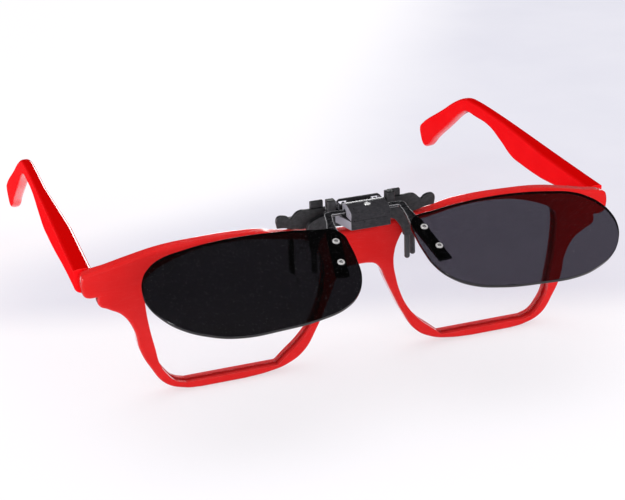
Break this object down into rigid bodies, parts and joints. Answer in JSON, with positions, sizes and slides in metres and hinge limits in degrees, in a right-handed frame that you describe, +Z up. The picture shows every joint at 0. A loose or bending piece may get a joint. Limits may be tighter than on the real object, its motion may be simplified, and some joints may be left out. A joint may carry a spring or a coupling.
{
  "type": "clip on sunglasses",
  "caption": "Flip-up clip-on sunglasses with a spring clip, gripping the front of plastic spectacles with folding temples.",
  "frame": {"origin": "middle of the bounding box at its lowest level, where the rim bottoms rest", "axes": "+X to the wearer's left, +Y backwards along the temples, +Z up"},
  "size_m": [0.1498, 0.1684, 0.047],
  "materials": {
    "frame": "polished red plastic, lightly marbled",
    "temple": "polished red plastic",
    "clear_lens": "polished clear plastic lens",
    "sun_lens": "polished dark smoke plastic lens",
    "clip": "dark grey satin finish",
    "strap": "black satin finish",
    "sleeve": "soft dark grey sleeve",
    "wire": "drawn steel wire",
    "hinge_steel": "plain steel",
    "spring_steel": "spring steel",
    "bright_steel": "bright screw",
    "rivet": "bright plated"
  },
  "bodies": {
    "spectacles": {"frame_front": "frame", "clear_lens_left": "clear_lens", "clear_lens_right": "clear_lens", "hinge_front_leaf_left": "hinge_steel", "hinge_front_leaf_right": "hinge_steel", "hinge_screw_left": "hinge_steel", "hinge_screw_right": "hinge_steel"},
    "temple_left_arm": {"temple_left": "temple", "hinge_temple_leaf_left": "hinge_steel"},
    "temple_right_arm": {"temple_right": "temple", "hinge_temple_leaf_right": "hinge_steel"},
    "clip": {"clip_body": "clip", "clip_cover": "clip", "cover_screw": "bright_steel", "detent_spring": "spring_steel", "front_jaw": "clip", "pivot_pin": "wire", "jaw_spring": "spring_steel", "front_prong_left": "wire", "front_prong_right": "wire", "front_prong_sleeve_left": "sleeve", "front_prong_sleeve_right": "sleeve"},
    "jaw": {"rear_jaw": "clip", "squeeze_lever": "clip", "rear_prong_left": "wire", "rear_prong_right": "wire", "rear_prong_sleeve_left": "sleeve", "rear_prong_sleeve_right": "sleeve"},
    "flip_lenses": {"flip_sleeve": "wire", "strap_left": "strap", "strap_right": "strap", "sun_lens_left": "sun_lens", "sun_lens_right": "sun_lens", "rivet_upper_left": "rivet", "rivet_upper_right": "rivet", "rivet_lower_left": "rivet", "rivet_lower_right": "rivet", "rivet_washer_upper_left": "rivet", "rivet_washer_upper_right": "rivet", "rivet_washer_lower_left": "rivet", "rivet_washer_lower_right": "rivet"}
  },
  "joints": [
    {"name": "temple_left_fold", "type": "hinge", "parent": "spectacles", "child": "temple_left_arm", "pos_m": [0.0673, -0.03827, 0.0333], "axis": [0, 0, 1], "range_deg": [0, 90]},
    {"name": "temple_right_fold", "type": "hinge", "parent": "spectacles", "child": "temple_right_arm", "pos_m": [-0.0673, -0.03827, 0.0333], "axis": [0, 0, -1], "range_deg": [0, 78]},
    {"name": "clip_lift", "type": "slide", "parent": "spectacles", "child": "clip", "axis": [0, 0, 1], "range_m": [0, 0.025]},
    {"name": "jaw_open", "type": "hinge", "parent": "clip", "child": "jaw", "pos_m": [0, -0.04717, 0.0449], "axis": [1, 0, 0], "range_deg": [-3, 6]},
    {"name": "lens_flip", "type": "hinge", "parent": "clip", "child": "flip_lenses", "pos_m": [0, -0.05037, 0.04432], "axis": [-1, 0, 0], "range_deg": [-68, 27]}
  ]
}
